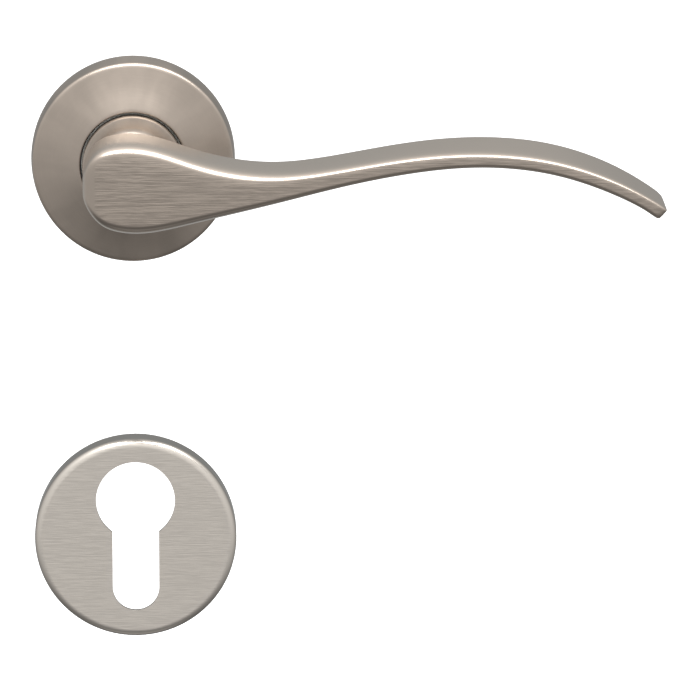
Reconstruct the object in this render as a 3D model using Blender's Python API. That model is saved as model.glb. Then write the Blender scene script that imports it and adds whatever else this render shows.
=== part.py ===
"""Door lever handle on a round rose, with the round cylinder escutcheon that goes with it.

Frame: the door's face is the plane Y = 0 and everything seen in a room stands out
towards -Y. +Z is up and +X runs along the lever. The origin is where the spindle's
axis meets the door's face. A depth below is a distance out of the door, so y = -depth.
"""
import math

import bmesh
import bpy
from mathutils import Matrix, Vector

MM = 0.001

# Gap kept between neighbouring pieces.
GAP = 0.3

# Rose cover: a pressed, domed shell.
ROSE_RADIUS = 25.0
ROSE_WALL = 1.2
ROSE_WALL_STRAIGHT = 5.0
ROSE_EDGE_DEPTH = 10.4
ROSE_EDGE_ROLL = 1.4
ROSE_EDGE_RADIUS = ROSE_RADIUS - ROSE_EDGE_ROLL
ROSE_DISH_RADIUS = 19.0
ROSE_DISH_DEPTH = 12.0
ROSE_HUB_DEPTH = 14.0
COLLAR_RADIUS = 12.25
COLLAR_CLEARANCE = 0.6

# Rose base: a moulded plate with a spring pocket in its back.
BASE_RADIUS = ROSE_RADIUS - ROSE_WALL - GAP
BASE_DEPTH = 8.5
WEB_BACK = 6.7
BOSS_RADIUS = 13.5
BOSS_DEPTH = 10.2
POCKET_RADIUS = 14.6
LUG_RADIUS = 3.6
LUG_LENGTH = 9.0
BOLT_SPACING = 38.0
STOP_INNER_RADIUS = 11.0
STOP_BACK = 0.2
STOP_DEPTH = 2.0
STOP_SPAN = 11.5
TURN_RANGE = 45.0

# Lever: shank, collar, neck and grip.
SHANK_RADIUS = 8.0
SHANK_BACK = 2.6
GROOVE_RADIUS = 7.1
GROOVE_BACK = 3.9
GROOVE_FRONT = 5.5
COLLAR_BACK = 12.0
COLLAR_FRONT = 17.2
NECK_RADIUS = 7.4
NECK_FILLET = 2.5
LEVER_FRONT = 55.0
GRIP_DEPTH = 18.0
SOCKET_END = 34.0

# Spindle and what holds the lever on it.
SPINDLE_SIZE = 8.0
SPINDLE_FRONT = 32.5
SPINDLE_BACK = -58.0
GRUB_RADIUS = 2.5
GRUB_DEPTH = 22.5
RING_THICKNESS = 1.0
RING_OUTER_RADIUS = 9.6
WASHER_OUTER_RADIUS = 10.8
WASHER_THICKNESS = 0.3
WASHER_WAVE = 0.15
WASHER_DEPTH = 5.85

# Bush between the shank and the rose base.
BUSH_WALL = 1.8
BUSH_FLANGE_RADIUS = 12.6
BUSH_BACK = 6.5
BUSH_FLANGE_BACK = BOSS_DEPTH + GAP
BUSH_FRONT = COLLAR_BACK - GAP

# Return spring and its driver.
WIRE_RADIUS = 0.5
COIL_RADIUS = 12.3
COIL_BACK = 2.9
COIL_FRONT = 5.8
COIL_TURNS = 2.5
SPRING_SLOT_RADIUS = 16.6
DRIVER_BACK = 0.5
DRIVER_FRONT = 1.9
DRIVER_RADIUS = 9.8
DRIVER_ARM_RADIUS = 13.8
DRIVER_ARM_SPAN = 28.0

# Through-bolts and their threaded sleeves.
BOLT_RADIUS = 2.0
BOLT_HEAD_RADIUS = 3.4
BOLT_HEAD_HEIGHT = 2.1
BOLT_HOLE_RADIUS = 2.35
COUNTERBORE_RADIUS = 3.75
COUNTERBORE_DEPTH = 2.9
BOLT_END = -32.0
SLEEVE_RADIUS = 3.1
SLEEVE_HEAD_RADIUS = 3.5
SLEEVE_NEAR = -18.0
SLEEVE_FAR = -40.0

# Escutcheon.
CYLINDER_SPACING = 85.0
ESCUTCHEON_OFFSET = 9.6
ESCUTCHEON_RADIUS = 25.0
ESCUTCHEON_WALL = 1.2
ESCUTCHEON_BASE_RADIUS = ESCUTCHEON_RADIUS - ESCUTCHEON_WALL - GAP
ESCUTCHEON_DEPTH = 8.0
ESCUTCHEON_EDGE = 2.0
ESCUTCHEON_BASE_DEPTH = 6.4
KEYHOLE_RADIUS = 9.75
KEYHOLE_SLOT_RADIUS = 5.75
KEYHOLE_SLOT_DROP = 22.0
KEYHOLE_BACK_MARGIN = 1.6

ESCUTCHEON_Z = -(CYLINDER_SPACING + ESCUTCHEON_OFFSET)

# Lever outline: x, height of the top at the back, height of the top at the front,
# height of the underside, and how softly the top front edge and the underside turn.
LEVER_STATIONS = (
    (-11.2, 4.6, 4.4, -2.9, 2.2, 2.0),
    (-9.7, 8.5, 8.2, -6.5, 3.2, 2.8),
    (-6.5, 11.2, 10.9, -9.7, 3.8, 3.2),
    (0.5, 12.0, 11.5, -11.0, 4.0, 3.4),
    (7.5, 10.6, 10.0, -10.1, 4.0, 3.2),
    (14.5, 7.8, 7.2, -8.3, 3.6, 2.8),
    (24.0, 5.2, 4.5, -6.1, 3.2, 2.4),
    (36.0, 4.3, 3.6, -3.3, 3.0, 2.0),
    (50.5, 6.6, 5.7, 0.7, 2.6, 1.6),
    (66.5, 9.7, 8.5, 4.0, 2.3, 1.4),
    (83.0, 10.9, 9.3, 5.7, 2.1, 1.4),
    (100.0, 9.4, 7.5, 3.8, 1.8, 1.3),
    (114.0, 4.7, 2.9, -0.9, 1.4, 1.1),
    (122.5, 0.0, -1.3, -4.9, 1.2, 1.0),
)
LEVER_TIP = (129.0, -4.2, -5.1, 125.6, -7.3)
BACK_EDGE = 2.2
COLUMN_LEFT = -7.6
NECK_CAGE_RINGS = (18.5, 22.0, 29.0)


def clear_scene():
    for leftover in list(bpy.data.objects):
        bpy.data.objects.remove(leftover, do_unlink=True)


def make_material(name, colour, roughness, metallic):
    material = bpy.data.materials.new(name)
    material.use_nodes = True
    shader = material.node_tree.nodes["Principled BSDF"]
    shader.inputs["Base Color"].default_value = (*colour, 1.0)
    shader.inputs["Roughness"].default_value = roughness
    shader.inputs["Metallic"].default_value = metallic
    return material


def place(name, bm, material, parent=None):
    """Turn a bmesh in millimetres into a named, smooth-shaded object in metres."""
    bmesh.ops.remove_doubles(bm, verts=bm.verts, dist=0.0005)
    bmesh.ops.recalc_face_normals(bm, faces=bm.faces)
    if bm.calc_volume(signed=True) < 0:
        bmesh.ops.reverse_faces(bm, faces=bm.faces)
    bm.transform(Matrix.Scale(MM, 4))
    mesh = bpy.data.meshes.new(name)
    bm.to_mesh(mesh)
    bm.free()
    obj = bpy.data.objects.new(name, mesh)
    bpy.context.collection.objects.link(obj)
    if material is not None:
        obj.data.materials.append(material)
    obj.data.shade_smooth()
    obj.data.set_sharp_from_angle(angle=math.radians(35.0))
    obj.parent = parent
    return obj


def lathe(profile, segments, centre=(0.0, 0.0)):
    """Spin (radius, depth) points about the Y axis through (x, z) centre.

    A profile that starts and ends on the axis makes a solid, any other closes on itself
    and makes a ring.
    """
    bm = bmesh.new()
    verts = [bm.verts.new((r, -d, 0.0)) for r, d in profile]
    edges = [bm.edges.new(pair) for pair in zip(verts, verts[1:])]
    solid = profile[0][0] == 0.0 and profile[-1][0] == 0.0
    if not solid:
        edges.append(bm.edges.new((verts[-1], verts[0])))
    bmesh.ops.spin(
        bm,
        geom=verts + edges,
        cent=(0.0, 0.0, 0.0),
        axis=(0.0, 1.0, 0.0),
        dvec=(0.0, 0.0, 0.0),
        angle=2.0 * math.pi,
        steps=segments,
        use_merge=True,
    )
    bmesh.ops.remove_doubles(bm, verts=bm.verts, dist=0.0005)
    bm.transform(Matrix.Translation((centre[0], 0.0, centre[1])))
    return bm


def prism(outline, near, far):
    """A straight solid from an (x, z) outline between two depths."""
    bm = bmesh.new()
    verts = [bm.verts.new((x, -near, z)) for x, z in outline]
    face = bm.faces.new(verts)
    moved = bmesh.ops.extrude_face_region(bm, geom=[face])["geom"]
    tops = [item for item in moved if isinstance(item, bmesh.types.BMVert)]
    bmesh.ops.translate(bm, verts=tops, vec=(0.0, near - far, 0.0))
    return bm


def arc(radius, start, end, steps, centre=(0.0, 0.0)):
    points = []
    for k in range(steps + 1):
        angle = math.radians(start + (end - start) * k / steps)
        points.append((centre[0] + radius * math.cos(angle), centre[1] + radius * math.sin(angle)))
    return points


def sector(inner, outer, start, end, steps, near, far):
    """A curved block: part of a ring between two angles, seen from the front."""
    return prism(arc(inner, start, end, steps) + arc(outer, end, start, steps), near, far)


def combine(target, bm, operation):
    """Join or cut a solid with another one given in millimetres."""
    tool = place("tool", bm, None)
    modifier = target.modifiers.new(operation.title(), "BOOLEAN")
    modifier.operation = operation
    modifier.solver = "EXACT"
    modifier.object = tool
    bpy.context.view_layer.objects.active = target
    bpy.ops.object.modifier_apply(modifier=modifier.name)
    bpy.data.objects.remove(tool, do_unlink=True)


def cut(target, bm):
    combine(target, bm, "DIFFERENCE")


def join(target, bm):
    combine(target, bm, "UNION")


def keyhole(margin):
    """Outline of the cylinder hole: a round head over a slot with a round end."""
    head = KEYHOLE_RADIUS + margin
    slot = KEYHOLE_SLOT_RADIUS + margin
    meet = math.degrees(math.asin(slot / head))
    centre = (0.0, -CYLINDER_SPACING)
    foot = (0.0, -CYLINDER_SPACING - KEYHOLE_SLOT_DROP)
    return arc(head, meet - 90.0, 270.0 - meet, 40, centre) + arc(slot, 180.0, 360.0, 16, foot)


def lever_section(x, top_back, top_front, under, soft_top, soft_under):
    """Fourteen cage points around the grip at one x, from the front's top corner."""
    front = LEVER_FRONT
    back = LEVER_FRONT - GRIP_DEPTH
    slope = (top_back - top_front) / GRIP_DEPTH
    middle_front = 0.5 * (top_front - soft_top + under + soft_under)
    middle_back = 0.5 * (top_back + under)
    edge = min(BACK_EDGE, 0.4 * (top_back - under))
    return (
        (x, front, top_front),
        (x, front, top_front - min(soft_top, 0.45 * (top_front - under))),
        (x, front, middle_front),
        (x, front, under + min(soft_under, 0.3 * (top_front - under))),
        (x, front, under),
        (x, front - soft_under, under),
        (x, back + BACK_EDGE, under),
        (x, back, under),
        (x, back, under + edge),
        (x, back, middle_back),
        (x, back, top_back - edge),
        (x, back, top_back),
        (x, back + BACK_EDGE, top_back - slope * BACK_EDGE),
        (x, front - soft_top, top_front + slope * soft_top),
    )


def lever_cap(bm, ring, flip):
    """Close one end of the grip with a patch three faces deep and four high."""
    corner_rows = (
        (ring[0], ring[13], ring[12], ring[11]),
        (ring[1], None, None, ring[10]),
        (ring[2], None, None, ring[9]),
        (ring[3], None, None, ring[8]),
        (ring[4], ring[5], ring[6], ring[7]),
    )
    rows = [list(corner_rows[0])]
    for k in (1, 2, 3):
        row = list(corner_rows[k])
        for column in (1, 2):
            above = corner_rows[0][column].co
            below = corner_rows[4][column].co
            share = (ring[0].co.z - ring[k].co.z) / (ring[0].co.z - ring[4].co.z)
            row[column] = bm.verts.new(above.lerp(below, share))
        rows.append(row)
    rows.append(list(corner_rows[4]))
    for upper, lower in zip(rows, rows[1:]):
        for column in range(3):
            quad = [upper[column], upper[column + 1], lower[column + 1], lower[column]]
            bm.faces.new(quad[::-1] if flip else quad)


def lever_cage():
    """Control cage of neck and grip. Smoothing it gives the cast shape."""
    bm = bmesh.new()
    rings = []
    for station in LEVER_STATIONS:
        section = lever_section(*station)
        rings.append([bm.verts.new((x, -d, z)) for x, d, z in section])
    tip_x, tip_back, tip_front, tip_low_x, tip_under = LEVER_TIP
    section = lever_section(tip_x, tip_back, tip_front, tip_under, 1.0, 0.9)
    tip = []
    for x, d, z in section:
        share = (tip_back - z) / (tip_back - tip_under)
        tip.append(bm.verts.new((tip_x + share * (tip_low_x - tip_x), -d, z)))
    rings.append(tip)
    lever_cap(bm, rings[0], False)
    lever_cap(bm, rings[-1], True)
    left, right = 2, 4
    for j, (one, other) in enumerate(zip(rings, rings[1:])):
        for k in range(14):
            opened = left <= j < right and k in (8, 9)
            if not opened:
                bm.faces.new((one[k], one[(k + 1) % 14], other[(k + 1) % 14], other[k]))
    rim = [rings[2][8], rings[3][8], rings[4][8], rings[4][9], rings[4][10]]
    rim += [rings[3][10], rings[2][10], rings[2][9]]
    angles = (225.0, 270.0, 315.0, 0.0, 45.0, 90.0, 135.0, 180.0)
    reach = NECK_RADIUS / 0.902
    loops = [rim]
    for depth in reversed(NECK_CAGE_RINGS):
        loop = []
        for angle in angles:
            x = reach * math.cos(math.radians(angle))
            z = reach * math.sin(math.radians(angle))
            loop.append(bm.verts.new((x, -depth, z)))
        loops.append(loop)
    for one, other in zip(loops, loops[1:]):
        for k in range(8):
            bm.faces.new((one[k], one[(k + 1) % 8], other[(k + 1) % 8], other[k]))
    bottom = bm.verts.new((0.0, -NECK_CAGE_RINGS[0], 0.0))
    last = loops[-1]
    for k in range(0, 8, 2):
        bm.faces.new((last[k - 1], last[k], last[k + 1], bottom))
    return bm


def build_lever(material):
    lever = place("lever", lever_cage(), material)
    smooth = lever.modifiers.new("Smooth", "SUBSURF")
    smooth.levels = 2
    smooth.render_levels = 2
    bpy.context.view_layer.objects.active = lever
    bpy.ops.object.modifier_apply(modifier=smooth.name)
    fillet = []
    for k in range(6):
        angle = math.radians(90.0 * k / 5)
        fillet.append(
            (
                NECK_RADIUS - 0.15 + NECK_FILLET * (1.0 - math.sin(angle)),
                COLLAR_FRONT + NECK_FILLET * (1.0 - math.cos(angle)),
            )
        )
    collar = (
        [(0.0, SHANK_BACK), (SHANK_RADIUS - 0.3, SHANK_BACK), (SHANK_RADIUS, SHANK_BACK + 0.3)]
        + [(SHANK_RADIUS, GROOVE_BACK), (GROOVE_RADIUS, GROOVE_BACK)]
        + [(GROOVE_RADIUS, GROOVE_FRONT), (SHANK_RADIUS, GROOVE_FRONT)]
        + [(SHANK_RADIUS, COLLAR_BACK), (COLLAR_RADIUS, COLLAR_BACK)]
        + [(COLLAR_RADIUS, COLLAR_FRONT - 0.3), (COLLAR_RADIUS - 0.3, COLLAR_FRONT)]
        + fillet
        + [(NECK_RADIUS - 0.15, COLLAR_FRONT + 6.0), (0.0, COLLAR_FRONT + 6.0)]
    )
    join(lever, lathe(collar, 40))
    half = SPINDLE_SIZE / 2 + GAP
    cut(lever, prism([(-half, -half), (half, -half), (half, half), (-half, half)], 0.0, SOCKET_END))
    cut(lever, stud(GRUB_RADIUS + GAP, -2.0, -NECK_RADIUS - 3.0, 24))
    return lever


def stud(radius, top, bottom, sides):
    """Round bar along Z at the grub screw's place."""
    bm = bmesh.new()
    bmesh.ops.create_cone(
        bm,
        cap_ends=True,
        segments=sides,
        radius1=radius,
        radius2=radius,
        depth=top - bottom,
        matrix=Matrix.Translation((0.0, -GRUB_DEPTH, 0.5 * (top + bottom))),
    )
    return bm


def build_grub_screw(material, parent):
    top = -SPINDLE_SIZE / 2 - GAP
    bottom = -NECK_RADIUS + 0.2
    screw = place("grub_screw", stud(GRUB_RADIUS, top, bottom, 24), material, parent)
    cut(screw, stud(1.45, bottom + 1.5, bottom - 1.0, 6))
    return screw


def build_spindle(material, parent):
    half = SPINDLE_SIZE / 2
    bm = prism([(-half, -half), (half, -half), (half, half), (-half, half)], SPINDLE_BACK, SPINDLE_FRONT)
    bmesh.ops.bevel(
        bm,
        geom=list(bm.edges),
        offset=0.4,
        segments=1,
        affect="EDGES",
    )
    return place("spindle", bm, material, parent)


def build_retaining_ring(material, parent):
    mid = 0.5 * (GROOVE_BACK + GROOVE_FRONT)
    near = mid - RING_THICKNESS / 2
    far = mid + RING_THICKNESS / 2
    inner = GROOVE_RADIUS + GAP
    ring = place("retaining_ring", sector(inner, RING_OUTER_RADIUS, -68.0, 248.0, 36, near, far), material, parent)
    for middle in (-76.0, 256.0):
        ear = sector(inner, RING_OUTER_RADIUS + 1.2, middle - 10.0, middle + 10.0, 5, near, far)
        join(ring, ear)
        x = 9.4 * math.cos(math.radians(middle))
        z = 9.4 * math.sin(math.radians(middle))
        cut(ring, prism(arc(0.6, 0.0, 330.0, 11, (x, z)), near - 1.0, far + 1.0))
    return ring


def build_wave_washer(material, parent):
    inner = SHANK_RADIUS + GAP + 0.1
    steps = 48
    bm = bmesh.new()
    sections = []
    for k in range(steps):
        angle = 2.0 * math.pi * k / steps
        depth = WASHER_DEPTH + WASHER_WAVE * math.sin(3.0 * angle)
        corners = []
        for radius, lift in ((inner, -0.5), (WASHER_OUTER_RADIUS, -0.5), (WASHER_OUTER_RADIUS, 0.5), (inner, 0.5)):
            place_at = (radius * math.cos(angle), -(depth + lift * WASHER_THICKNESS), radius * math.sin(angle))
            corners.append(bm.verts.new(place_at))
        sections.append(corners)
    for one, other in zip(sections, sections[1:] + sections[:1]):
        for k in range(4):
            bm.faces.new((one[k], one[(k + 1) % 4], other[(k + 1) % 4], other[k]))
    return place("wave_washer", bm, material, parent)


def build_bush(material):
    inner = SHANK_RADIUS + GAP
    outer = inner + BUSH_WALL
    profile = [
        (inner, BUSH_BACK),
        (outer - 0.3, BUSH_BACK),
        (outer, BUSH_BACK + 0.3),
        (outer, BUSH_FLANGE_BACK),
        (BUSH_FLANGE_RADIUS, BUSH_FLANGE_BACK),
        (BUSH_FLANGE_RADIUS, BUSH_FRONT),
        (inner, BUSH_FRONT),
    ]
    return place("bearing_bush", lathe(profile, 40), material)


def build_driver(material, parent):
    driver = place("spring_driver", prism(arc(DRIVER_RADIUS, 0.0, 352.5, 47), DRIVER_BACK, DRIVER_FRONT), material, parent)
    for middle in (90.0, 270.0):
        arm = sector(
            DRIVER_RADIUS - 2.0,
            DRIVER_ARM_RADIUS,
            middle - DRIVER_ARM_SPAN / 2,
            middle + DRIVER_ARM_SPAN / 2,
            6,
            DRIVER_BACK,
            DRIVER_FRONT,
        )
        join(driver, arm)
    half = SPINDLE_SIZE / 2 + GAP
    square = [(-half, -half), (half, -half), (half, half), (-half, half)]
    cut(driver, prism(square, DRIVER_BACK - 1.0, DRIVER_FRONT + 1.0))
    eye = arc(WIRE_RADIUS + GAP + 0.1, 0.0, 330.0, 11, (0.0, COIL_RADIUS))
    cut(driver, prism(eye, DRIVER_BACK - 1.0, DRIVER_FRONT + 1.0))
    return driver


def build_spring(material, parent):
    """Torsion coil: one leg down into the driver's eye, one out into the base's slot."""
    path = []
    for k in range(4):
        path.append(Vector((0.0, -(DRIVER_BACK + 0.2 + (COIL_BACK - DRIVER_BACK - 0.2) * k / 3.0), COIL_RADIUS)))
    path.pop()
    turns = int(COIL_TURNS * 22)
    for k in range(turns + 1):
        angle = math.radians(90.0 + 360.0 * COIL_TURNS * k / turns)
        depth = COIL_BACK + (COIL_FRONT - COIL_BACK) * k / turns
        path.append(Vector((COIL_RADIUS * math.cos(angle), -depth, COIL_RADIUS * math.sin(angle))))
    end = path[-1]
    outward = Vector((end.x, 0.0, end.z)).normalized()
    path.append(end + outward * (SPRING_SLOT_RADIUS - GAP - COIL_RADIUS))
    bm = bmesh.new()
    rings = []
    for k, point in enumerate(path):
        ahead = path[min(k + 1, len(path) - 1)] - point
        behind = point - path[max(k - 1, 0)]
        along = (ahead.normalized() + behind.normalized()).normalized()
        side = along.cross(Vector((point.x, 0.0, point.z)).normalized())
        if side.length < 0.3:
            side = along.cross(Vector((0.0, 1.0, 0.0)))
        side.normalize()
        other = along.cross(side)
        ring = []
        for q in range(8):
            angle = 2.0 * math.pi * q / 8
            ring.append(bm.verts.new(point + WIRE_RADIUS * (math.cos(angle) * side + math.sin(angle) * other)))
        rings.append(ring)
    for one, other in zip(rings, rings[1:]):
        start = min(range(8), key=lambda q: (other[q].co - one[0].co).length)
        aligned = other[start:] + other[:start]
        if (aligned[1].co - one[1].co).length > (aligned[-1].co - one[1].co).length:
            aligned = [aligned[0]] + aligned[:0:-1]
        for q in range(8):
            bm.faces.new((one[q], one[(q + 1) % 8], aligned[(q + 1) % 8], aligned[q]))
        other[:] = aligned
    bm.faces.new(rings[0][::-1])
    bm.faces.new(rings[-1])
    return place("return_spring", bm, material, parent)


def bolt_places(z):
    return ((-BOLT_SPACING / 2, z), (BOLT_SPACING / 2, z))


def drill_for_bolt(base, front, centre):
    """Support lug on the back, through-hole and counterbore for one bolt."""
    lug = [(0.0, -LUG_LENGTH), (LUG_RADIUS - 0.5, -LUG_LENGTH), (LUG_RADIUS, -LUG_LENGTH + 0.5)]
    join(base, lathe(lug + [(LUG_RADIUS, 1.0), (0.0, 1.0)], 20, centre))
    bore = [(0.0, -LUG_LENGTH - 1.0), (BOLT_HOLE_RADIUS, -LUG_LENGTH - 1.0)]
    bore += [(BOLT_HOLE_RADIUS, front - COUNTERBORE_DEPTH), (COUNTERBORE_RADIUS, front - COUNTERBORE_DEPTH)]
    bore += [(COUNTERBORE_RADIUS, front + 2.0), (0.0, front + 2.0)]
    cut(base, lathe(bore, 20, centre))


def build_bolt(name, front, centre, material):
    top = front - COUNTERBORE_DEPTH + GAP + BOLT_HEAD_HEIGHT
    seat = top - BOLT_HEAD_HEIGHT
    profile = [
        (0.0, BOLT_END),
        (BOLT_RADIUS - 0.4, BOLT_END),
        (BOLT_RADIUS, BOLT_END + 0.4),
        (BOLT_RADIUS, seat),
        (BOLT_HEAD_RADIUS, seat),
        (BOLT_HEAD_RADIUS, top - 0.8),
        (BOLT_HEAD_RADIUS - 0.5, top - 0.2),
        (BOLT_HEAD_RADIUS - 1.3, top),
        (0.0, top),
    ]
    bolt = place(name, lathe(profile, 16, centre), material)
    x, z = centre
    arm, half = 2.0, 0.4
    cross = [(x + half, z + half), (x + half, z + arm), (x - half, z + arm), (x - half, z + half)]
    cross += [(x - arm, z + half), (x - arm, z - half), (x - half, z - half), (x - half, z - arm)]
    cross += [(x + half, z - arm), (x + half, z - half), (x + arm, z - half), (x + arm, z + half)]
    cut(bolt, prism(cross, top - 1.3, top + 1.0))
    return bolt


def build_sleeve(name, centre, material):
    inner = BOLT_HOLE_RADIUS
    profile = [
        (inner, SLEEVE_NEAR),
        (inner, SLEEVE_FAR + 2.5),
        (0.0, SLEEVE_FAR + 2.5),
        (0.0, SLEEVE_FAR),
        (SLEEVE_HEAD_RADIUS - 0.3, SLEEVE_FAR),
        (SLEEVE_HEAD_RADIUS, SLEEVE_FAR + 0.3),
        (SLEEVE_HEAD_RADIUS, SLEEVE_FAR + 1.5),
        (SLEEVE_RADIUS, SLEEVE_FAR + 1.5),
        (SLEEVE_RADIUS, SLEEVE_NEAR),
    ]
    sleeve = place(name, lathe(profile, 16, centre), material)
    x, z = centre
    slot = [(x - 5.0, z - 0.6), (x + 5.0, z - 0.6), (x + 5.0, z + 0.6), (x - 5.0, z + 0.6)]
    cut(sleeve, prism(slot, SLEEVE_FAR - 1.0, SLEEVE_FAR + 1.0))
    return sleeve


def build_rose_base(material):
    bore = SHANK_RADIUS + GAP + BUSH_WALL + GAP
    profile = [
        (BASE_RADIUS, 0.0),
        (BASE_RADIUS, BASE_DEPTH - 0.8),
        (BASE_RADIUS - 0.8, BASE_DEPTH),
        (BOSS_RADIUS, BASE_DEPTH),
        (BOSS_RADIUS, BOSS_DEPTH),
        (bore, BOSS_DEPTH),
        (bore, WEB_BACK),
        (POCKET_RADIUS, WEB_BACK),
        (POCKET_RADIUS, 0.0),
    ]
    base = place("rose_base", lathe(profile, 60), material)
    for turned in (0.0, 180.0):
        rest = 90.0 + DRIVER_ARM_SPAN / 2 + 1.5 + turned
        limit = 90.0 - DRIVER_ARM_SPAN / 2 - TURN_RANGE - 1.5 + turned
        outer = POCKET_RADIUS + 1.0
        join(base, sector(STOP_INNER_RADIUS, outer, rest, rest + STOP_SPAN, 4, STOP_BACK, STOP_DEPTH))
        join(base, sector(STOP_INNER_RADIUS, outer, limit - STOP_SPAN, limit, 4, STOP_BACK, STOP_DEPTH))
    slot = [(-0.9, -SPRING_SLOT_RADIUS), (0.9, -SPRING_SLOT_RADIUS), (0.9, -10.5), (-0.9, -10.5)]
    cut(base, prism(slot, COIL_FRONT - 1.0, WEB_BACK + GAP))
    for centre in bolt_places(0.0):
        drill_for_bolt(base, BASE_DEPTH, centre)
    return base


def build_rose_cover(material, parent):
    hole = COLLAR_RADIUS + COLLAR_CLEARANCE
    outer = [
        (ROSE_RADIUS, 0.0),
        (ROSE_RADIUS, ROSE_WALL_STRAIGHT),
        (ROSE_RADIUS - 0.12, ROSE_WALL_STRAIGHT + 2.0),
        (ROSE_RADIUS - 0.42, ROSE_WALL_STRAIGHT + 3.8),
        (ROSE_EDGE_RADIUS + 0.5, ROSE_EDGE_DEPTH - 0.45),
        (ROSE_EDGE_RADIUS + 0.1, ROSE_EDGE_DEPTH - 0.05),
        (ROSE_EDGE_RADIUS - 0.6, ROSE_EDGE_DEPTH + 0.25),
        (ROSE_DISH_RADIUS, ROSE_DISH_DEPTH),
        (hole + 1.75, ROSE_HUB_DEPTH - 0.75),
        (hole + 0.75, ROSE_HUB_DEPTH - 0.3),
        (hole + 0.25, ROSE_HUB_DEPTH),
        (hole, ROSE_HUB_DEPTH - 0.1),
    ]
    inner = [
        (hole, ROSE_HUB_DEPTH - 1.3),
        (hole + 1.55, ROSE_HUB_DEPTH - 1.95),
        (ROSE_DISH_RADIUS, ROSE_DISH_DEPTH - 1.25),
        (ROSE_EDGE_RADIUS - 1.0, ROSE_EDGE_DEPTH - 0.8),
        (ROSE_RADIUS - ROSE_WALL, ROSE_EDGE_DEPTH - 1.8),
        (ROSE_RADIUS - ROSE_WALL, 0.0),
    ]
    return place("rose_cover", lathe(outer + inner, 60), material, parent)


def build_escutcheon_base(material):
    profile = [
        (0.0, 0.0),
        (ESCUTCHEON_BASE_RADIUS, 0.0),
        (ESCUTCHEON_BASE_RADIUS, ESCUTCHEON_BASE_DEPTH - 1.0),
        (ESCUTCHEON_BASE_RADIUS - 1.0, ESCUTCHEON_BASE_DEPTH),
        (0.0, ESCUTCHEON_BASE_DEPTH),
    ]
    base = place("escutcheon_base", lathe(profile, 48, (0.0, ESCUTCHEON_Z)), material)
    cut(base, prism(keyhole(KEYHOLE_BACK_MARGIN), -5.0, ESCUTCHEON_BASE_DEPTH + 5.0))
    for centre in bolt_places(ESCUTCHEON_Z):
        drill_for_bolt(base, ESCUTCHEON_BASE_DEPTH, centre)
    return base


def build_escutcheon_cover(material, parent):
    outer = [(ESCUTCHEON_RADIUS, 0.0)]
    for k in range(7):
        angle = math.radians(90.0 * k / 6)
        r = ESCUTCHEON_RADIUS - ESCUTCHEON_EDGE * (1.0 - math.cos(angle))
        d = ESCUTCHEON_DEPTH - ESCUTCHEON_EDGE * (1.0 - math.sin(angle))
        outer.append((r, d))
    outer.append((0.0, ESCUTCHEON_DEPTH))
    inside_depth = ESCUTCHEON_DEPTH - ESCUTCHEON_WALL
    inside_radius = ESCUTCHEON_RADIUS - ESCUTCHEON_WALL
    inner = [
        (0.0, inside_depth),
        (inside_radius - 0.8, inside_depth),
        (inside_radius, inside_depth - 0.8),
        (inside_radius, 0.0),
    ]
    cover = place("escutcheon_cover", shell_lathe(outer, inner), material, parent)
    cut(cover, prism(keyhole(0.0), ESCUTCHEON_DEPTH - 4.0, ESCUTCHEON_DEPTH + 4.0))
    return cover


def shell_lathe(outer, inner):
    """Spin a cup: outer profile in to the axis, inner profile back out."""
    bm = bmesh.new()
    verts_out = [bm.verts.new((r, -d, 0.0)) for r, d in outer]
    verts_in = [bm.verts.new((r, -d, 0.0)) for r, d in inner]
    edges = [bm.edges.new(pair) for pair in zip(verts_out, verts_out[1:])]
    edges += [bm.edges.new(pair) for pair in zip(verts_in, verts_in[1:])]
    edges.append(bm.edges.new((verts_in[-1], verts_out[0])))
    bmesh.ops.spin(
        bm,
        geom=verts_out + verts_in + edges,
        cent=(0.0, 0.0, 0.0),
        axis=(0.0, 1.0, 0.0),
        dvec=(0.0, 0.0, 0.0),
        angle=2.0 * math.pi,
        steps=60,
        use_merge=True,
    )
    bmesh.ops.remove_doubles(bm, verts=bm.verts, dist=0.0005)
    bm.transform(Matrix.Translation((0.0, 0.0, ESCUTCHEON_Z)))
    return bm


def main():
    clear_scene()
    nickel = make_material("satin_nickel", (0.60, 0.56, 0.51), 0.32, 1.0)
    cast = make_material("die_cast_zinc", (0.55, 0.56, 0.57), 0.5, 1.0)
    zinc_plate = make_material("bright_zinc_plate", (0.72, 0.73, 0.75), 0.28, 1.0)
    spring_steel = make_material("spring_steel", (0.30, 0.31, 0.33), 0.35, 1.0)
    black_steel = make_material("blackened_steel", (0.06, 0.06, 0.065), 0.45, 1.0)
    bar_steel = make_material("bar_steel", (0.62, 0.63, 0.65), 0.38, 1.0)
    nylon = make_material("nylon", (0.86, 0.85, 0.80), 0.5, 0.0)
    lever = build_lever(nickel)
    build_grub_screw(black_steel, lever)
    build_spindle(bar_steel, lever)
    build_retaining_ring(spring_steel, lever)
    build_wave_washer(spring_steel, lever)
    build_driver(zinc_plate, lever)
    build_spring(spring_steel, lever)
    build_bush(nylon)
    base = build_rose_base(cast)
    build_rose_cover(nickel, base)
    escutcheon_base = build_escutcheon_base(cast)
    build_escutcheon_cover(nickel, escutcheon_base)
    for side, centre in zip(("left", "right"), bolt_places(0.0)):
        build_bolt(f"rose_bolt_{side}", BASE_DEPTH, centre, zinc_plate)
        build_sleeve(f"rose_sleeve_{side}", centre, zinc_plate)
    for side, centre in zip(("left", "right"), bolt_places(ESCUTCHEON_Z)):
        build_bolt(f"escutcheon_bolt_{side}", ESCUTCHEON_BASE_DEPTH, centre, zinc_plate)
        build_sleeve(f"escutcheon_sleeve_{side}", centre, zinc_plate)


main()
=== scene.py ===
import math

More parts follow.
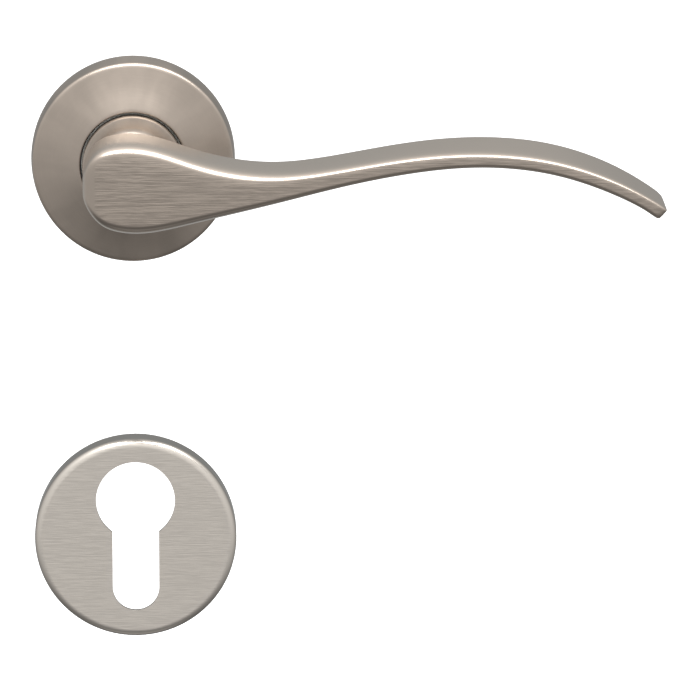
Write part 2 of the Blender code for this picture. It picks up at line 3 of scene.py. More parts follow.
import bmesh
import bpy
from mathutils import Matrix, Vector


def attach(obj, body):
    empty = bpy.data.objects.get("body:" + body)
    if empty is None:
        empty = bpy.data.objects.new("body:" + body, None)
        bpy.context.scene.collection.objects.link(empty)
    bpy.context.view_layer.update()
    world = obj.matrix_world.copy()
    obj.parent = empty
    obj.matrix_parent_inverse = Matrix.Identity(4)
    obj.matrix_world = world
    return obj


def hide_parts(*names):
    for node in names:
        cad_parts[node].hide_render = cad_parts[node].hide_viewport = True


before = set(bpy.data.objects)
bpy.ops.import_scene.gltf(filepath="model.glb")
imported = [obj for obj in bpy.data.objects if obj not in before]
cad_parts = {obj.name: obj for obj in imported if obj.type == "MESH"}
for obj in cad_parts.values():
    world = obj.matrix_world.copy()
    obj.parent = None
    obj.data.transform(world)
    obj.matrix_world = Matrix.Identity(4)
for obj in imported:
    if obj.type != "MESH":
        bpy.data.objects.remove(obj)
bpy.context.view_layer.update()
bpy.ops.object.select_all(action="DESELECT")


# --- Camera, floor and light -------------------------------------------------
# The handle hangs in front of a pale floor, as it would on an open door. One large soft
# box is overhead, and the room around it falls off from light above to dim below.

CAMERA_PLACE = Vector((0.015, -1.400, 0.222))
CAMERA_AIM = Vector((0.0533, 0.0, -0.0488))
SENSOR_WIDTH = 36.0
VIEW_WIDTH = 0.1734
sight = CAMERA_AIM - CAMERA_PLACE
camera_data = bpy.data.cameras.new("camera")
camera = bpy.data.objects.new("camera", camera_data)
bpy.context.collection.objects.link(camera)
camera.location = CAMERA_PLACE
camera.rotation_euler = sight.to_track_quat("-Z", "Y").to_euler()
camera_data.sensor_width = SENSOR_WIDTH
camera_data.lens = SENSOR_WIDTH * sight.length / VIEW_WIDTH
camera_data.clip_end = 50.0
bpy.context.scene.camera = camera
bpy.context.scene.view_settings.view_transform = "Standard"

FLOOR_SIZE = 14.0
FLOOR_HEIGHT = -0.24
bpy.ops.mesh.primitive_plane_add(size=FLOOR_SIZE, location=(0.0, 0.0, FLOOR_HEIGHT))
floor = bpy.context.object
floor.name = "floor"
floor.visible_glossy = False
floor_paint = bpy.data.materials.new("pale_floor")
floor_paint.use_nodes = True
floor_shader = floor_paint.node_tree.nodes["Principled BSDF"]
floor_shader.inputs["Base Color"].default_value = (0.93, 0.93, 0.93, 1.0)
floor_shader.inputs["Roughness"].default_value = 0.9
floor_shader.inputs["Emission Color"].default_value = (1.0, 1.0, 1.0, 1.0)
floor_shader.inputs["Emission Strength"].default_value = 0.5
floor.data.materials.append(floor_paint)

# How bright the room is at each height, from straight down at -1 to straight up at 1,
# in front of the door and behind it.
FRONT_SHADES = (
    (-1.0, 0.30),
    (-0.9, 0.12),
    (-0.7, 0.17),
    (-0.3, 0.39),
    (-0.12, 0.50),
    (0.1, 0.53),
    (0.44, 0.62),
    (0.75, 0.95),
    (1.0, 1.30),
)
BACK_SHADES = (
    (-0.45, 0.34),
    (-0.22, 0.30),
    (0.0, 0.20),
    (0.2, 0.21),
    (0.5, 0.32),
    (0.8, 0.46),
)
FULL_SHADE = 1.5
BACK_RED = 0.96
BACK_STARTS, BACK_ENDS = 0.55, 0.98
ROOM_STRENGTH = 1.8
WHITE_STRENGTH = 1.05
world = bpy.data.worlds.new("studio")
bpy.context.scene.world = world
world.use_nodes = True
air = world.node_tree
air.nodes.clear()
way = air.nodes.new("ShaderNodeTexCoord")
split = air.nodes.new("ShaderNodeSeparateXYZ")
air.links.new(way.outputs["Generated"], split.inputs[0])
height = air.nodes.new("ShaderNodeMapRange")
height.inputs["From Min"].default_value = -1.0
air.links.new(split.outputs["Z"], height.inputs["Value"])


def shades_by_height(levels, red):
    """A ramp of near greys over the height, each with its own share of red."""
    shades = air.nodes.new("ShaderNodeValToRGB")
    air.links.new(height.outputs[0], shades.inputs[0])
    ramp = shades.color_ramp
    while len(ramp.elements) < len(levels):
        ramp.elements.new(0.5)
    for stop, (level, shade) in zip(ramp.elements, levels):
        stop.position = (level + 1.0) / 2.0
        stop.color = (shade * red, shade, shade, 1.0)
    return shades


front_shades = shades_by_height([(level, shade / FULL_SHADE) for level, shade in FRONT_SHADES], 1.0)
back_shades = shades_by_height(BACK_SHADES, BACK_RED)
behind = air.nodes.new("ShaderNodeMapRange")
behind.interpolation_type = "SMOOTHSTEP"
behind.inputs["From Min"].default_value = BACK_STARTS
behind.inputs["From Max"].default_value = BACK_ENDS
air.links.new(split.outputs["Y"], behind.inputs["Value"])
wall = air.nodes.new("ShaderNodeMix")
wall.data_type = "RGBA"
air.links.new(behind.outputs[0], wall.inputs["Factor"])
air.links.new(front_shades.outputs[0], wall.inputs[6])
air.links.new(back_shades.outputs[0], wall.inputs[7])
room = air.nodes.new("ShaderNodeBackground")
room.inputs["Strength"].default_value = ROOM_STRENGTH
air.links.new(wall.outputs[2], room.inputs["Color"])
white = air.nodes.new("ShaderNodeBackground")
white.inputs["Color"].default_value = (1.0, 1.0, 1.0, 1.0)
white.inputs["Strength"].default_value = WHITE_STRENGTH
seen = air.nodes.new("ShaderNodeLightPath")
blend = air.nodes.new("ShaderNodeMixShader")
sky = air.nodes.new("ShaderNodeOutputWorld")
air.links.new(seen.outputs["Is Camera Ray"], blend.inputs[0])
air.links.new(room.outputs[0], blend.inputs[1])
air.links.new(white.outputs[0], blend.inputs[2])
air.links.new(blend.outputs[0], sky.inputs[0])

SOFT_BOX_PLACE = Vector((0.15, -0.25, 1.0))
SOFT_BOX_AIM = Vector((0.04, 0.0, 0.0))
soft_light = bpy.data.lights.new("overhead_box", "AREA")
soft_light.shape = "RECTANGLE"
soft_light.size = 1.2
soft_light.size_y = 0.7
soft_light.energy = 13.2
soft_box = bpy.data.objects.new("overhead_box", soft_light)
bpy.context.collection.objects.link(soft_box)
soft_box.location = SOFT_BOX_PLACE
soft_box.rotation_euler = (SOFT_BOX_AIM - SOFT_BOX_PLACE).to_track_quat("-Z", "Y").to_euler()


# --- Rose cover --------------------------------------------------------------
# Domed cup of sheet brass, pressed and turned, nickel plated and satined round its
# centre. It snaps over the rose base and pulls forward along the neck.


class Level:
    """A socket in a material, on which sums and products add Math nodes."""

    def __init__(self, finish, socket):
        self.finish = finish
        self.socket = socket

    def math(self, operation, *values):
        return self.finish.node("ShaderNodeMath", {"operation": operation}, dict(enumerate(values)))

    def __add__(self, other):
        return self.math("ADD", self, other)

    def __sub__(self, other):
        return self.math("SUBTRACT", self, other)

    def __rsub__(self, other):
        return self.math("SUBTRACT", other, self)

    def __mul__(self, other):
        return self.math("MULTIPLY", self, other)

    def __pow__(self, other):
        return self.math("POWER", self, other)

    __radd__ = __add__


class Finish:
    """One material, built up node by node."""

    def __init__(self, name, colour, roughness, metallic):
        self.material = bpy.data.materials.new(name)
        self.material.use_nodes = True
        self.tree = self.material.node_tree
        self.shader = self.tree.nodes["Principled BSDF"]
        self.colour = colour
        self.shader.inputs["Base Color"].default_value = (*colour, 1.0)
        self.shader.inputs["Roughness"].default_value = roughness
        self.shader.inputs["Metallic"].default_value = metallic

    def node(self, kind, settings=None, sockets=None, output=0):
        made = self.tree.nodes.new(kind)
        for name, value in (settings or {}).items():
            setattr(made, name, value)
        for name, value in (sockets or {}).items():
            if isinstance(value, Level):
                self.tree.links.new(value.socket, made.inputs[name])
            else:
                made.inputs[name].default_value = value
        return Level(self, made.outputs[output])

    def place(self):
        return self.node("ShaderNodeTexCoord", output="Object")

    def facing(self):
        """How far the surface faces out of the door: 1 square on, 0 edge on."""
        normal = self.node("ShaderNodeTexCoord", output="Normal")
        return self.node("ShaderNodeSeparateXYZ", None, {0: normal}, 1) * -1.0

    def noise(self, vector, detail, roughness=0.55):
        values = {"Vector": vector, "Scale": 1.0, "Detail": detail, "Roughness": roughness}
        return self.node("ShaderNodeTexNoise", None, values)

    def stretched(self, vector, scale):
        return self.node("ShaderNodeMapping", None, {"Vector": vector, "Scale": scale})

    def even(self, spot, scale, detail):
        """Noise of the same grain in every direction, with so many grains to the metre."""
        return self.noise(self.stretched(spot, (scale, scale, scale)), detail)

    def smooth(self, value, low, high):
        values = {"Value": value, "From Min": low, "From Max": high}
        return self.node("ShaderNodeMapRange", {"interpolation_type": "SMOOTHSTEP"}, values)

    def brushed(self, spot, along, across):
        """Long thin scratches along X, with as much light as dark."""
        hair = self.noise(self.stretched(spot, (along, 300.0, across)), 3.0, 0.6)
        fine = self.noise(self.stretched(spot, (along * 2.3, 600.0, across * 2.1)), 2.0, 0.5)
        return self.smooth(hair * 0.7 + fine * 0.3, 0.36, 0.64)

    def tint(self, share, light, dark, painted_shade=None, shade_depth=0.16):
        """Base colour between dark at 0 and light at 1, mixed towards a dark share of the colour as
        painted shade where the shade mask is high.
        """
        values = {"Factor": share, 6: (*dark, 1.0), 7: (*light, 1.0)}
        mixed = self.node("ShaderNodeMix", {"data_type": "RGBA"}, values, 2)
        if painted_shade is not None:
            values = {"Factor": painted_shade, 6: mixed, 7: (*(shade_depth * c for c in self.colour), 1.0)}
            mixed = self.node("ShaderNodeMix", {"data_type": "RGBA"}, values, 2)
        self.tree.links.new(mixed.socket, self.shader.inputs["Base Color"])

    def feed(self, socket, value):
        self.tree.links.new(value.socket, self.shader.inputs[socket])

    def bump(self, height, depth, strength):
        values = {"Height": height, "Distance": depth, "Strength": strength}
        self.feed("Normal", self.node("ShaderNodeBump", None, values))


def shades_of(colour, low, high):
    """The lightest and the darkest shade of a colour."""
    return tuple(c * high for c in colour), tuple(c * low for c in colour)


SMOOTH_ANGLE = math.radians(32.0)
WELD = 0.000002


def turned(name, centre, profile, sides, closed=True):
    """Turn a piece on an axis out of the door from (radius, depth) steps in millimetres."""
    x, z = centre[0] / 1000.0, centre[1] / 1000.0
    radius, depth = profile[0][0] / 1000.0, profile[0][1] / 1000.0
    bpy.ops.object.select_all(action="DESELECT")
    bpy.ops.mesh.primitive_circle_add(
        vertices=sides, radius=radius, location=(x, -depth, z), rotation=(math.pi / 2, 0.0, 0.0)
    )
    piece = bpy.context.object
    piece.name = name
    bpy.ops.object.transform_apply(location=True, rotation=True, scale=True)
    bpy.ops.object.mode_set(mode="EDIT")
    bpy.ops.mesh.select_all(action="SELECT")
    steps = profile[1:] + (profile[:1] if closed else [])
    for next_radius, next_depth in steps:
        next_radius, next_depth = next_radius / 1000.0, next_depth / 1000.0
        bpy.ops.mesh.extrude_region_move(
            TRANSFORM_OT_translate={"value": (0.0, depth - next_depth, 0.0)}
        )
        ratio = next_radius / radius
        bpy.ops.transform.resize(value=(ratio, 1.0, ratio), center_override=(x, -next_depth, z))
        radius, depth = next_radius, next_depth
    bpy.ops.mesh.select_all(action="SELECT")
    bpy.ops.mesh.remove_doubles(threshold=WELD)
    if not closed:
        bpy.ops.mesh.fill_holes(sides=0)
    bpy.ops.mesh.normals_make_consistent(inside=False)
    bpy.ops.object.mode_set(mode="OBJECT")
    bpy.ops.object.shade_smooth_by_angle(angle=SMOOTH_ANGLE)
    return piece


NICKEL = (0.533, 0.460, 0.395)
rose_outside = [
    (25.0, 0.0),
    (25.0, 3.6),
    (24.92, 5.2),
    (24.78, 7.0),
    (24.62, 8.6),
    (24.52, 9.4),
    (24.44, 9.7),
    (24.3, 9.94),
    (24.1, 10.12),
    (23.8, 10.26),
    (23.4, 10.38),
    (22.0, 10.78),
    (19.0, 11.7),
    (16.5, 12.6),
    (14.0, 13.57),
    (13.35, 13.79),
    (13.1, 13.84),
    (12.95, 13.8),
    (12.85, 13.65),
]
rose_inside = [
    (12.85, 12.9),
    (14.2, 12.35),
    (19.0, 10.7),
    (22.6, 9.5),
    (23.5, 9.1),
    (23.8, 8.5),
    (23.8, 0.0),
]
rose_shell = turned("rose_shell", (0.0, 0.0), rose_outside + rose_inside, 144)

turned_nickel = Finish("turned_satin_nickel", NICKEL, 0.34, 1.0)
spot = turned_nickel.place()
across = turned_nickel.node("ShaderNodeSeparateXYZ", None, {0: spot}, 0)
upward = turned_nickel.node("ShaderNodeSeparateXYZ", None, {0: spot}, 2)
from_centre = (across * across + upward * upward) ** 0.5
bearing = across.math("ARCTAN2", upward, across)
ring_values = {0: from_centre * 2600.0, 1: bearing * 2.2, 2: 0.0}
ring_place = turned_nickel.node("ShaderNodeCombineXYZ", None, ring_values)
rings = turned_nickel.noise(ring_place, 4.0, 0.6)
cloud = turned_nickel.even(spot, 90.0, 2.0)
sweep_values = {
    0: bearing.math("COSINE", bearing) * 2.4,
    1: bearing.math("SINE", bearing) * 2.4,
    2: from_centre * 60.0,
}
sweep_place = turned_nickel.node("ShaderNodeCombineXYZ", None, sweep_values)
sweep = turned_nickel.smooth(turned_nickel.noise(sweep_place, 3.0, 0.6), 0.32, 0.68)
# Painted shade: the colour darkens on the side wall and the edges, where the surface turns edge on
# to the door.
wall_painted_shade = turned_nickel.smooth(turned_nickel.facing(), 0.45, 0.08) * 0.42
tone = rings * 0.35 + cloud * 0.2 + sweep * 0.45
turned_nickel.tint(tone, *shades_of(NICKEL, 0.86, 1.08), wall_painted_shade)
turned_nickel.feed("Roughness", 0.30 + rings * 0.08 + cloud * 0.04 + sweep * 0.05)
turned_nickel.bump(rings, 0.00002, 0.35)
rose_shell.data.materials.append(turned_nickel.material)
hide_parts("rose_cover")
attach(rose_shell, "rose_cap")


# --- Lever -------------------------------------------------------------------
# Neck and grip are one zinc casting, nickel plated. The front face is brushed along
# the grip, the rest is satined smooth.

LEVER_FRONT = 0.0550
LEVER_BACK = 0.0370
BACK_EDGE = 0.0022
# Place along the grip, top at the back, top at the front, underside, how softly the
# front face rolls into the top, and how deep the roll at its underside is, in millimetres.
GRIP_STATIONS = (
    (-11.6, 3.0, 2.8, -1.9, 1.6, 1.4),
    (-11.1, 5.7, 5.4, -3.9, 2.6, 2.2),
    (-9.3, 8.9, 8.6, -7.2, 3.8, 2.9),
    (-6.2, 11.3, 10.9, -10.3, 4.8, 3.3),
    (0.5, 12.0, 11.5, -11.6, 5.2, 3.4),
    (7.5, 10.6, 10.0, -10.6, 5.2, 3.2),
    (14.5, 7.8, 7.2, -8.7, 4.8, 2.9),
    (24.0, 5.3, 4.6, -6.35, 4.4, 2.5),
    (36.0, 4.2, 3.5, -3.3, 4.0, 2.2),
    (50.5, 6.5, 5.6, 0.7, 3.4, 1.9),
    (66.5, 9.6, 8.4, 3.9, 3.0, 1.8),
    (83.0, 11.0, 9.4, 5.6, 2.8, 1.7),
    (100.0, 9.6, 7.7, 3.9, 2.4, 1.6),
    (114.0, 4.7, 2.9, -1.1, 1.8, 1.4),
    (122.5, -0.3, -1.6, -5.4, 1.4, 1.2),
    (127.6, -3.9, -4.9, -7.6, 1.0, 1.0),
)
TIP_LEAN = -0.0026
NECK_RING = 0.0082
NECK_DEPTHS = (0.0290, 0.0220, 0.0185)
NECK_HALF_HEIGHT = 0.008
EIGHTH_TURN = math.pi / 4
ROWS = 6
COLUMNS = 4
FACE_LIFT = 0.00035
FACE_ROW = 0.0006
HEAD_ROLL = {-11.6: 0.0044, -11.1: 0.0016, -9.3: 0.0001}


def grip_grid(station, lean=0.0):
    """Six rows of four places, front to back, for the grip's cross-section."""
    x, top_back, top_front, under, soft_top, soft_under = (value / 1000.0 for value in station)
    fall = (top_back - top_front) / (LEVER_FRONT - LEVER_BACK)
    face = LEVER_FRONT - HEAD_ROLL.get(station[0], 0.0)
    tall = top_front - under
    back_turn = min(BACK_EDGE, 0.4 * (top_back - under))
    front_turn = min(0.6 * soft_top, 0.28 * tall)
    crown = min(2.1 * soft_top, 0.010)
    lip = min(0.75 * soft_under, 0.2 * tall)
    face_low = under + lip + FACE_LIFT
    front = (
        top_front - 0.1 * front_turn,
        top_front - front_turn,
        0.5 * (top_front + under),
        face_low + FACE_ROW,
        face_low,
        under,
    )
    back = (
        top_back,
        top_back - back_turn,
        0.5 * (top_back + under),
        under + 1.6 * back_turn,
        under + back_turn,
        under,
    )
    inner_front = top_front + fall * crown
    inner_back = top_back - fall * BACK_EDGE
    grid = []
    for row in range(ROWS):
        share = (front[0] - front[row]) / (front[0] - front[-1])
        depths = [face, face - crown, LEVER_BACK + BACK_EDGE, LEVER_BACK]
        if row == 0:
            depths[0] = face - 0.12 * soft_top
        if row == ROWS - 1:
            depths[0] = face - 0.25 * soft_under
            depths[1] = face - 2.1 * soft_under
        heights = [
            front[row],
            inner_front + (under - inner_front) * share,
            inner_back + (under - inner_back) * share,
            back[row],
        ]
        if row == ROWS - 1:
            heights[0] = under + 0.5 * lip
        grid.append([Vector((x + lean * share, -d, z)) for d, z in zip(depths, heights)])
    return grid


def settle(mesh, old, new):
    """Move the selected vertices from one cross-section to the next."""
    for vert in mesh.verts:
        if vert.select:
            row, column = min(
                ((r, c) for r in range(ROWS) for c in range(COLUMNS)),
                key=lambda rc: (old[rc[0]][rc[1]] - vert.co).length,
            )
            vert.co = new[row][column]
    bmesh.update_edit_mesh(grip.data)


def boolean(piece, tool, operation):
    """Join or cut a piece with a tool, which is used up."""
    bpy.ops.object.select_all(action="DESELECT")
    bpy.context.view_layer.objects.active = piece
    piece.select_set(True)
    step = piece.modifiers.new("Step", "BOOLEAN")
    step.operation = operation
    step.solver = "EXACT"
    step.object = tool
    bpy.ops.object.modifier_apply(modifier="Step")
    bpy.data.objects.remove(tool, do_unlink=True)


bpy.ops.mesh.primitive_grid_add(x_subdivisions=COLUMNS - 1, y_subdivisions=ROWS - 1, size=1.0)
grip = bpy.context.object
grip.name = "lever_grip"
bpy.ops.object.mode_set(mode="EDIT")
bpy.ops.mesh.select_all(action="SELECT")
flat = [
    [Vector((-0.5 + c / (COLUMNS - 1), 0.5 - r / (ROWS - 1), 0.0)) for c in range(COLUMNS)]
    for r in range(ROWS)
]
section = grip_grid(GRIP_STATIONS[0])
settle(bmesh.from_edit_mesh(grip.data), flat, section)
for k, station in enumerate(GRIP_STATIONS[1:]):
    bpy.ops.mesh.extrude_region_move()
    last = k == len(GRIP_STATIONS) - 2
    following = grip_grid(station, TIP_LEAN if last else 0.0)
    settle(bmesh.from_edit_mesh(grip.data), section, following)
    section = following
bpy.ops.mesh.select_all(action="DESELECT")
mesh = bmesh.from_edit_mesh(grip.data)
neck_left, neck_right = GRIP_STATIONS[3][0] / 1000.0, GRIP_STATIONS[5][0] / 1000.0
for face in mesh.faces:
    middle = face.calc_center_median()
    level = abs(middle.z) < NECK_HALF_HEIGHT
    if abs(middle.y + LEVER_BACK) < 1e-5 and level and neck_left < middle.x < neck_right:
        face.select = True
mesh.select_flush_mode()
bmesh.update_edit_mesh(grip.data)
for k, depth in enumerate(NECK_DEPTHS):
    bpy.ops.mesh.extrude_region_move()
    mesh = bmesh.from_edit_mesh(grip.data)
    chosen = [vert for vert in mesh.verts if vert.select]
    middle = min(chosen, key=lambda vert: Vector((vert.co.x, vert.co.z)).length)
    for vert in chosen:
        vert.co.y = -depth
        if k == 0 and vert is not middle:
            out = vert.co - middle.co
            turn = round(math.atan2(out.z, out.x) / EIGHTH_TURN)
            vert.co.x = NECK_RING * math.cos(turn * EIGHTH_TURN)
            vert.co.z = NECK_RING * math.sin(turn * EIGHTH_TURN)
    if k == 0:
        middle.co.x = 0.0
        middle.co.z = 0.0
    bmesh.update_edit_mesh(grip.data)
bpy.ops.mesh.select_all(action="SELECT")
bpy.ops.mesh.normals_make_consistent(inside=False)
bpy.ops.object.mode_set(mode="OBJECT")
bpy.ops.object.shade_smooth()
casting = grip.modifiers.new("Casting", "SUBSURF")
casting.levels = 4
casting.render_levels = 4
bpy.ops.object.modifier_apply(modifier="Casting")

brushed_nickel = Finish("brushed_satin_nickel", NICKEL, 0.30, 1.0)
spot = brushed_nickel.place()
front = brushed_nickel.smooth(brushed_nickel.facing(), 0.965, 0.995)
lines = brushed_nickel.brushed(spot, 150.0, 4200.0)
mist = brushed_nickel.even(spot, 900.0, 2.0)
cloud = brushed_nickel.even(spot, 60.0, 2.0)
grain = front * (lines - 0.5) + 0.5
brushed_nickel.tint(grain * 0.85 + cloud * 0.15, *shades_of(NICKEL, 0.78, 1.22))
brushed_nickel.feed("Roughness", 0.27 + front * (0.05 + lines * 0.12) + mist * 0.03)
brushed_nickel.bump(front * lines + (1.0 - front) * mist * 0.25, 0.000035, 0.6)
grip.data.materials.append(brushed_nickel.material)
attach(grip, "lever_side")

fillet = []
for k in range(9):
    angle = math.radians(90.0 * k / 8)
    fillet.append((9.75 - 2.47 * math.sin(angle), 17.2 + 2.5 * (1.0 - math.cos(angle))))
collar_profile = [
    (6.2, 2.6),
    (7.7, 2.6),
    (8.0, 2.9),
    (8.0, 3.9),
    (7.1, 3.9),
    (7.1, 5.5),
    (8.0, 5.5),
    (8.0, 12.0),
    (12.0, 12.0),
    (12.25, 12.25),
    (12.25, 16.85),
    (12.15, 17.1),
    (11.9, 17.2),
    *fillet,
    (7.2, 24.0),
    (6.2, 24.0),
]
collar = turned("lever_collar", (0.0, 0.0), collar_profile, 128)

GRUB_BORE_RADIUS = 0.0028
GRUB_BORE_LENGTH = 0.008
GRUB_BORE_MIDDLE = (0.0, -0.0225, -0.0081)
for piece in (grip, collar):
    bpy.ops.mesh.primitive_cylinder_add(
        vertices=48,
        radius=GRUB_BORE_RADIUS,
        depth=GRUB_BORE_LENGTH,
        location=GRUB_BORE_MIDDLE,
    )
    boolean(piece, bpy.context.object, "DIFFERENCE")
    bpy.ops.object.shade_smooth_by_angle(angle=math.radians(40.0))

collar.data.materials.append(turned_nickel.material)
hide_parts("lever")
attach(collar, "lever_side")


# --- Escutcheon cover --------------------------------------------------------
# Flat-faced cup of the same nickel-plated brass, brushed level, with the hole for a
# profile cylinder punched through its face. Its base colour is painted much lighter
# than the lever's nickel, as painted light on the flat face.

ESCUTCHEON_Z = -94.6
HOLE_HEAD_Z = -85.0
HOLE_HEAD_RADIUS = 9.75
HOLE_SLOT_RADIUS = 5.75
HOLE_FOOT_Z = -107.0
HOLE_EDGE_BEVEL = 0.00018
PLATE_FACE = 0.008
PUNCH_WELD = 0.00003
plate_profile = [(12.0, 6.8), (23.0, 6.8), (23.6, 6.55), (23.8, 6.0), (23.8, 0.0), (25.0, 0.0)]
for k in range(11):
    angle = math.radians(90.0 * k / 10)
    plate_profile.append((23.0 + 2.0 * math.cos(angle), 6.0 + 2.0 * math.sin(angle)))
plate_profile.append((12.0, 8.0))


def level_faces(piece):
    """Shade a piece so that its large faces stay flat right up to their rolled edges."""
    bpy.ops.object.select_all(action="DESELECT")
    bpy.context.view_layer.objects.active = piece
    piece.select_set(True)
    bpy.ops.object.shade_smooth_by_angle(angle=SMOOTH_ANGLE)
    weighted = piece.modifiers.new("Level", "WEIGHTED_NORMAL")
    weighted.keep_sharp = True
    bpy.ops.object.modifier_apply(modifier="Level")


plate = turned("escutcheon_shell", (0.0, ESCUTCHEON_Z), plate_profile, 144, closed=False)

bpy.ops.mesh.primitive_circle_add(
    vertices=96,
    radius=HOLE_SLOT_RADIUS / 1000.0,
    fill_type="NGON",
    location=(0.0, -0.003, HOLE_FOOT_Z / 1000.0),
    rotation=(math.pi / 2, 0.0, 0.0),
)
punch = bpy.context.object
bpy.ops.object.transform_apply(location=True, rotation=True, scale=True)
bpy.ops.object.mode_set(mode="EDIT")
mesh = bmesh.from_edit_mesh(punch.data)
for vert in mesh.verts:
    vert.select = vert.co.z > HOLE_FOOT_Z / 1000.0 + 1e-6
mesh.select_flush_mode()
bpy.ops.transform.translate(value=(0.0, 0.0, (HOLE_HEAD_Z - HOLE_FOOT_Z) / 1000.0))
bpy.ops.mesh.select_all(action="SELECT")
bpy.ops.mesh.extrude_region_move(TRANSFORM_OT_translate={"value": (0.0, -0.008, 0.0)})
bpy.ops.mesh.select_all(action="SELECT")
bpy.ops.mesh.normals_make_consistent(inside=False)
bpy.ops.object.mode_set(mode="OBJECT")
bpy.ops.mesh.primitive_cylinder_add(
    vertices=144,
    radius=HOLE_HEAD_RADIUS / 1000.0,
    depth=0.010,
    location=(0.0, -0.0075, HOLE_HEAD_Z / 1000.0),
    rotation=(math.pi / 2, 0.0, 0.0),
)
head_punch = bpy.context.object
bpy.ops.object.transform_apply(location=True, rotation=True, scale=True)

boolean(head_punch, punch, "UNION")
boolean(plate, head_punch, "DIFFERENCE")
bpy.ops.object.mode_set(mode="EDIT")
bpy.ops.mesh.select_all(action="SELECT")
bpy.ops.mesh.remove_doubles(threshold=PUNCH_WELD)
bpy.ops.mesh.select_all(action="DESELECT")
bpy.ops.mesh.select_mode(type="EDGE")
mesh = bmesh.from_edit_mesh(plate.data)
for edge in mesh.edges:
    on_face = all(abs(vert.co.y + PLATE_FACE) < 1e-5 for vert in edge.verts)
    turns = len(edge.link_faces) == 2 and edge.calc_face_angle(0.0) > 1.0
    edge.select = on_face and turns
mesh.select_flush_mode()
bpy.ops.mesh.bevel(offset=HOLE_EDGE_BEVEL, segments=2, affect="EDGES", clamp_overlap=True)
bpy.ops.mesh.select_mode(type="VERT")
bpy.ops.object.mode_set(mode="OBJECT")
level_faces(plate)

# Painted light: the plate's nickel is set much lighter than the lever's, though it is the same
# plating.
LIT_PLATE_NICKEL = (0.965, 0.895, 0.81)
lit_level_nickel = Finish("lit_level_brushed_nickel", LIT_PLATE_NICKEL, 0.30, 1.0)
spot = lit_level_nickel.place()
front = lit_level_nickel.smooth(lit_level_nickel.facing(), 0.90, 0.99)
lines = lit_level_nickel.brushed(spot, 190.0, 5200.0)
mist = lit_level_nickel.even(spot, 900.0, 2.0)
cloud = lit_level_nickel.even(spot, 50.0, 2.0)
grain = front * (lines - 0.5) + 0.5
# Painted shade: the colour darkens on the rolled rim and the walls of the hole, where the surface
# turns away from the door.
rim_painted_shade = lit_level_nickel.smooth(lit_level_nickel.facing(), 0.97, 0.25)
lit_plate_shades = shades_of(LIT_PLATE_NICKEL, 0.87, 1.03)
lit_level_nickel.tint(grain * 0.85 + cloud * 0.15, *lit_plate_shades, rim_painted_shade, 0.34)
lit_level_nickel.feed("Roughness", 0.28 + front * lines * 0.10 + mist * 0.03)
lit_level_nickel.bump(front * lines + (1.0 - front) * mist * 0.2, 0.00003, 0.5)
plate.data.materials.append(lit_level_nickel.material)
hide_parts("escutcheon_cover")
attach(plate, "escutcheon_cap")


# --- Bases -------------------------------------------------------------------
# Zinc castings that the covers snap onto: matt grey, with the fine orange peel and the
# cloudy tone that a die leaves.

CAST_ZINC = (0.50, 0.51, 0.52)
cast_zinc = Finish("cast_zinc", CAST_ZINC, 0.5, 1.0)
spot = cast_zinc.place()
peel = cast_zinc.even(spot, 1400.0, 3.0)
cloud = cast_zinc.even(spot, 120.0, 3.0)
cast_zinc.tint(cloud * 0.7 + peel * 0.3, *shades_of(CAST_ZINC, 0.72, 1.18))
cast_zinc.feed("Roughness", 0.42 + cloud * 0.18)
cast_zinc.bump(peel, 0.00006, 0.5)
for name in ("rose_base", "escutcheon_base"):
    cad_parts[name].data.materials[0] = cast_zinc.material


# --- Bearing bush ------------------------------------------------------------
# Natural nylon, moulded, pressed into the rose base: the shank turns in it.

NYLON = (0.80, 0.79, 0.73)
nylon = Finish("natural_nylon", NYLON, 0.45, 0.0)
spot = nylon.place()
cloud = nylon.even(spot, 160.0, 3.0)
fleck = nylon.even(spot, 2500.0, 2.0)
nylon.tint(cloud, *shades_of(NYLON, 0.92, 1.05))
nylon.feed("Roughness", 0.38 + fleck * 0.15)
nylon.bump(fleck, 0.00003, 0.4)
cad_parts["bearing_bush"].data.materials[0] = nylon.material


# --- Sleeves and driver ------------------------------------------------------
# Turned or pressed steel with bright zinc plate, which shows faint blue and straw
# patches where the passivation is thicker.

ZINC_PLATE = (0.66, 0.68, 0.71)
STRAW = (0.74, 0.72, 0.64)
PALE_BLUE = (0.58, 0.64, 0.72)
zinc_plate = Finish("bright_zinc_plate", ZINC_PLATE, 0.26, 1.0)
spot = zinc_plate.place()
patch = zinc_plate.even(spot, 190.0, 3.0)
speck = zinc_plate.even(spot, 2200.0, 2.0)
zinc_plate.tint(zinc_plate.smooth(patch, 0.3, 0.7), STRAW, PALE_BLUE)
zinc_plate.feed("Roughness", 0.20 + speck * 0.14)
zinc_plate.bump(speck, 0.00002, 0.4)
for name in (
    "rose_sleeve_left",
    "rose_sleeve_right",
    "escutcheon_sleeve_left",
    "escutcheon_sleeve_right",
    "spring_driver",
):
    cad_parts[name].data.materials[0] = zinc_plate.material


# --- Bolts -------------------------------------------------------------------
# M4 machine screws, cold headed, thread rolled, zinc plated like the sleeves they turn
# into. The shank shows the 0.7 mm thread, the head stays smooth.

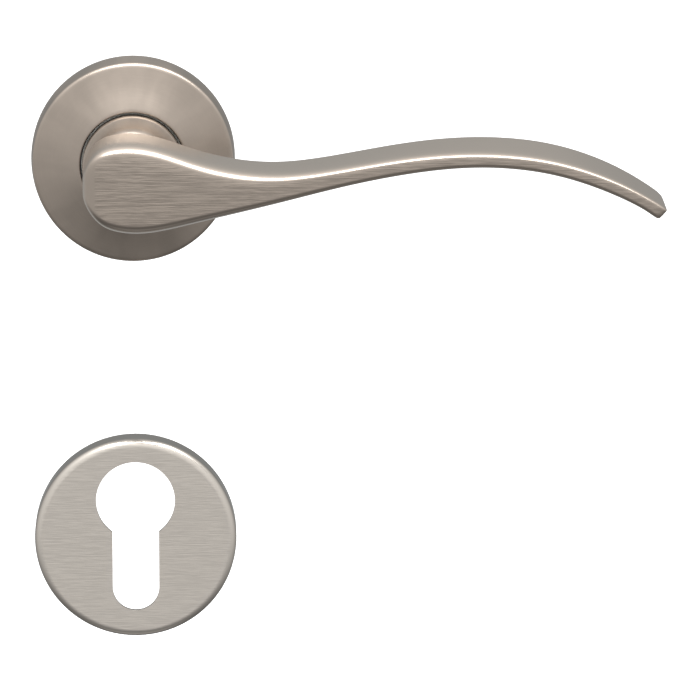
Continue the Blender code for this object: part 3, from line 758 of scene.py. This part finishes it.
BOLT_PITCH = 0.0007
BOLT_SIDE = 0.019
THREAD_OUTER = 0.00215
THREAD_FADE = 0.0001
for owner, axis_height in (("rose", 0.0), ("escutcheon", ESCUTCHEON_Z / 1000.0)):
    rolled = Finish(f"{owner}_bolt_zinc_plate", ZINC_PLATE, 0.26, 1.0)
    spot = rolled.place()
    sideways = rolled.node("ShaderNodeSeparateXYZ", None, {0: spot}, 0)
    across = sideways.math("ABSOLUTE", sideways) - BOLT_SIDE
    upward = rolled.node("ShaderNodeSeparateXYZ", None, {0: spot}, 2) - axis_height
    along = rolled.node("ShaderNodeSeparateXYZ", None, {0: spot}, 1)
    from_axis = (across * across + upward * upward) ** 0.5
    shank = rolled.smooth(from_axis, THREAD_OUTER + THREAD_FADE, THREAD_OUTER)
    lead = across.math("ARCTAN2", upward, across)
    thread = along.math("SINE", along * (2.0 * math.pi / BOLT_PITCH) + lead) * 0.5 + 0.5
    patch = rolled.even(spot, 190.0, 3.0)
    speck = rolled.even(spot, 2200.0, 2.0)
    rolled.tint(rolled.smooth(patch, 0.3, 0.7), STRAW, PALE_BLUE)
    rolled.feed("Roughness", 0.20 + speck * 0.10 + shank * thread * 0.08)
    rolled.bump(shank * thread + (1.0 - shank) * speck * 0.06, 0.0003, 0.9)
    for side in ("left", "right"):
        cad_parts[f"{owner}_bolt_{side}"].data.materials[0] = rolled.material


# --- Spindle -----------------------------------------------------------------
# Drawn 8 mm square bar, plain steel, with die lines along it and a thin film of oil.

BAR_STEEL = (0.55, 0.55, 0.56)
bar_steel = Finish("drawn_bar_steel", BAR_STEEL, 0.35, 1.0)
spot = bar_steel.place()
drawn = bar_steel.noise(bar_steel.stretched(spot, (2400.0, 40.0, 2400.0)), 4.0, 0.6)
stain = bar_steel.noise(bar_steel.stretched(spot, (140.0, 60.0, 140.0)), 3.0)
bar_steel.tint(drawn * 0.6 + stain * 0.4, *shades_of(BAR_STEEL, 0.75, 1.2))
bar_steel.feed("Roughness", 0.26 + drawn * 0.14 + stain * 0.08)
bar_steel.bump(drawn, 0.00004, 0.5)
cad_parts["spindle"].data.materials[0] = bar_steel.material


# --- Spring, retaining ring and wave washer ----------------------------------
# Hardened spring steel, oil-blacked, in lighter and darker patches.

SPRING_STEEL = (0.24, 0.245, 0.26)
spring_steel = Finish("oiled_spring_steel", SPRING_STEEL, 0.34, 1.0)
spot = spring_steel.place()
temper = spring_steel.even(spot, 220.0, 3.0)
speck = spring_steel.even(spot, 2600.0, 2.0)
spring_steel.tint(temper, (0.33, 0.32, 0.32), (0.17, 0.18, 0.22))
spring_steel.feed("Roughness", 0.25 + speck * 0.2)
spring_steel.bump(speck, 0.00002, 0.4)
for name in ("return_spring", "retaining_ring", "wave_washer"):
    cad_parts[name].data.materials[0] = spring_steel.material


# --- Grub screw --------------------------------------------------------------
# Blackened set screw with a hexagon socket, under the neck, that grips the spindle.

BLACK_OXIDE = (0.055, 0.055, 0.06)
black_oxide = Finish("black_oxide", BLACK_OXIDE, 0.42, 1.0)
spot = black_oxide.place()
speck = black_oxide.even(spot, 1800.0, 3.0)
black_oxide.tint(speck, *shades_of(BLACK_OXIDE, 0.7, 1.5))
black_oxide.feed("Roughness", 0.34 + speck * 0.2)
black_oxide.bump(speck, 0.00003, 0.4)
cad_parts["grub_screw"].data.materials[0] = black_oxide.material
